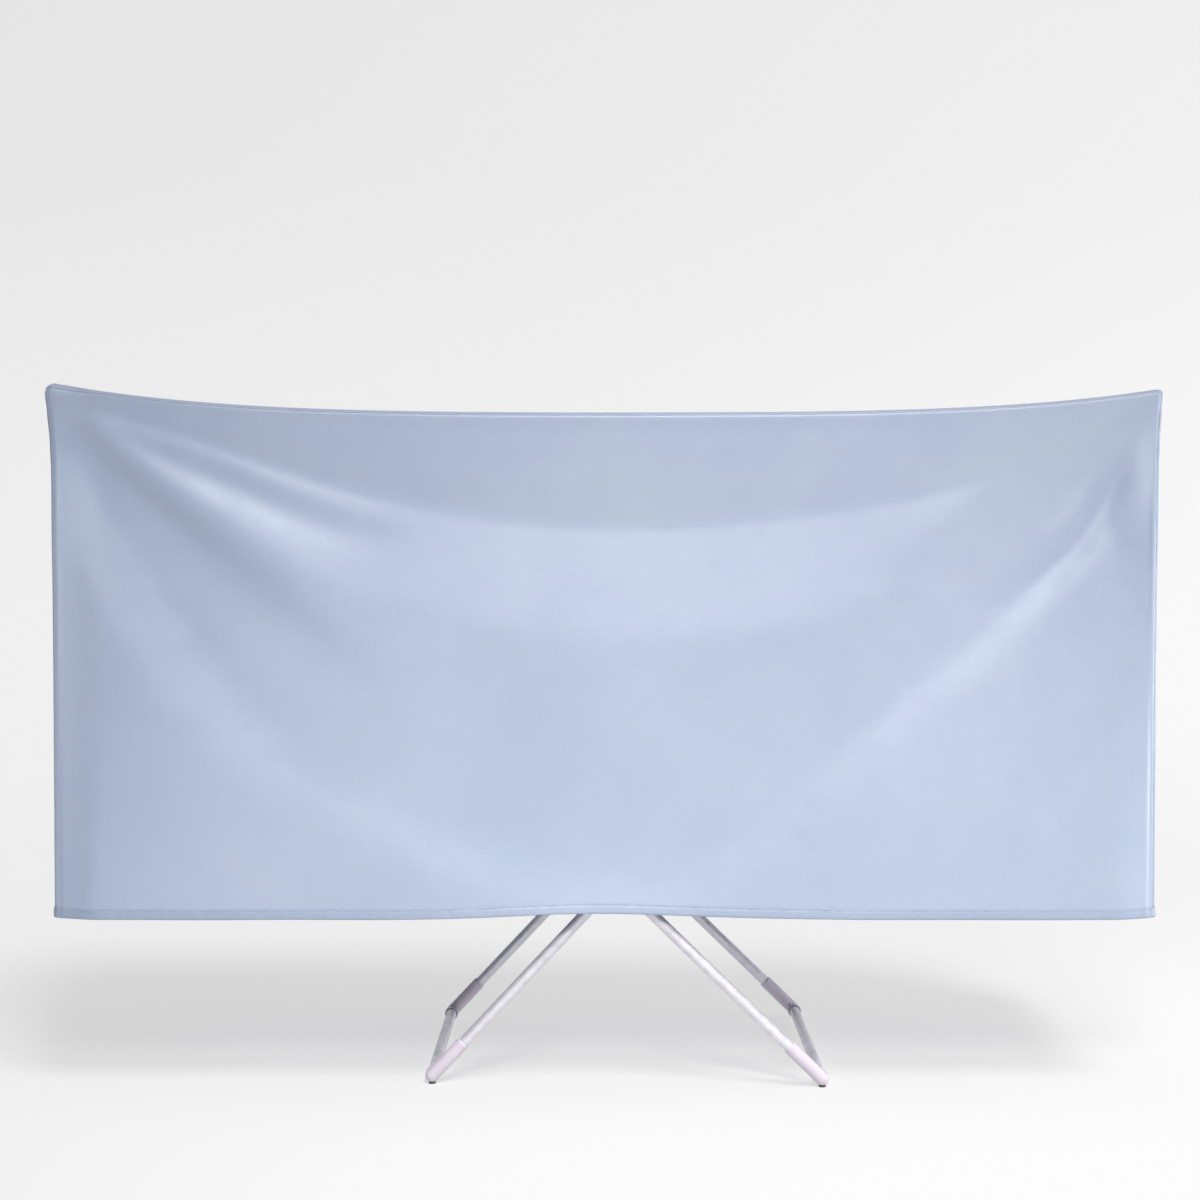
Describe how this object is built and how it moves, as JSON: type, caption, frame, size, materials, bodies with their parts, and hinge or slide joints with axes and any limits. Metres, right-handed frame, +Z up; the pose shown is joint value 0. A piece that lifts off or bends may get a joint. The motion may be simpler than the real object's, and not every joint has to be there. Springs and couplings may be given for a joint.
{
  "type": "winged clothes airer with cover",
  "caption": "Free-standing folding clothes airer on crossed tube legs, with a wired middle panel, hinged raised wings held by stays, and a fitted fabric cover with a sewn hem.",
  "frame": {"origin": "on the floor under the middle of the cover", "axes": "+X to the right along the length, +Y to the rear, +Z up"},
  "size_m": [1.7718, 0.5772, 1.1192],
  "materials": {
    "satin_tube": "satin anodised",
    "foot_plastic": "fine moulded, pale lilac grey",
    "grey_plastic": "fine moulded",
    "foot_rubber": "matte",
    "coated_wire": "white powder coat",
    "steel_pin": "zinc plated",
    "cover_fabric": "light blue satin polyester",
    "cover_hem_fabric": "folded and stitched hem"
  },
  "bodies": {
    "inner_leg_frame": {"crossing_rivets": "steel_pin", "crossing_spacers": "grey_plastic", "inner_foot_crossbar": "satin_tube", "inner_foot_elbow_front": "foot_plastic", "inner_foot_elbow_rear": "foot_plastic", "inner_foot_pads": "foot_rubber", "inner_leg_tube_front": "satin_tube", "inner_leg_tube_rear": "satin_tube", "inner_top_cap_front": "grey_plastic", "inner_top_cap_rear": "grey_plastic", "panel_hinge_rod": "steel_pin"},
    "outer_leg_frame": {"outer_foot_crossbar": "satin_tube", "outer_foot_elbow_front": "foot_plastic", "outer_foot_elbow_rear": "foot_plastic", "outer_foot_pads": "foot_rubber", "outer_leg_tube_front": "satin_tube", "outer_leg_tube_rear": "satin_tube", "outer_snap_cap_front": "grey_plastic", "outer_snap_cap_rear": "grey_plastic"},
    "drying_panel": {"panel_corner_front_left": "grey_plastic", "panel_corner_front_right": "grey_plastic", "panel_corner_rear_left": "grey_plastic", "panel_corner_rear_right": "grey_plastic", "panel_end_bar_left": "satin_tube", "panel_end_bar_right": "satin_tube", "panel_hinge_clips": "grey_plastic", "panel_rail_front": "satin_tube", "panel_rail_rear": "satin_tube", "panel_wires": "coated_wire", "stay_brackets": "grey_plastic", "wing_hinge_pins": "steel_pin"},
    "left_wing": {"left_stay_clips": "grey_plastic", "left_wing_arm_front": "satin_tube", "left_wing_arm_rear": "satin_tube", "left_wing_corner_front": "grey_plastic", "left_wing_corner_rear": "grey_plastic", "left_wing_knuckles": "grey_plastic", "left_wing_tip_bar": "satin_tube", "left_wing_wires": "coated_wire"},
    "right_wing": {"right_stay_clips": "grey_plastic", "right_wing_arm_front": "satin_tube", "right_wing_arm_rear": "satin_tube", "right_wing_corner_front": "grey_plastic", "right_wing_corner_rear": "grey_plastic", "right_wing_knuckles": "grey_plastic", "right_wing_tip_bar": "satin_tube", "right_wing_wires": "coated_wire"},
    "left_stay": {"left_stay_wire": "coated_wire"},
    "right_stay": {"right_stay_wire": "coated_wire"},
    "cover": {"cover_back_panel": "cover_fabric", "cover_front_panel": "cover_fabric", "cover_hem": "cover_hem_fabric", "cover_left_end": "cover_fabric", "cover_right_end": "cover_fabric", "cover_top_panel": "cover_fabric"}
  },
  "joints": [
    {"name": "leg_fold", "type": "hinge", "parent": "inner_leg_frame", "child": "outer_leg_frame", "pos_m": [0.02124, 0, 0.33209], "axis": [0, 1, 0], "range_deg": [0, 84], "deforming": ["cover_back_panel", "cover_front_panel", "cover_hem", "cover_left_end", "cover_right_end", "cover_top_panel"]},
    {"name": "panel_fold", "type": "hinge", "parent": "inner_leg_frame", "child": "drying_panel", "pos_m": [0.5, 0, 0.84], "axis": [0, -1, 0], "range_deg": [0, 46.2]},
    {"name": "left_wing_fold", "type": "hinge", "parent": "drying_panel", "child": "left_wing", "pos_m": [-0.535, 0, 0.888], "axis": [0, 1, 0], "range_deg": [0, 147]},
    {"name": "right_wing_fold", "type": "hinge", "parent": "drying_panel", "child": "right_wing", "pos_m": [0.535, 0, 0.888], "axis": [0, -1, 0], "range_deg": [0, 147]},
    {"name": "left_stay_fold", "type": "hinge", "parent": "drying_panel", "child": "left_stay", "pos_m": [-0.503, 0, 0.808], "axis": [0, -1, 0], "range_deg": [0, 223.5]},
    {"name": "right_stay_fold", "type": "hinge", "parent": "drying_panel", "child": "right_stay", "pos_m": [0.503, 0, 0.808], "axis": [0, 1, 0], "range_deg": [0, 223.5]},
    {"name": "cover_lift", "type": "slide", "parent": "inner_leg_frame", "child": "cover", "axis": [0, 0, 1], "range_m": [0, 0.9]}
  ],
  "couplings": [
    {"joint": "panel_fold", "follows": "leg_fold", "ratio": 0.5478},
    {"joint": "left_stay_fold", "follows": "left_wing_fold", "ratio": 1.52},
    {"joint": "right_stay_fold", "follows": "right_wing_fold", "ratio": 1.52}
  ]
}
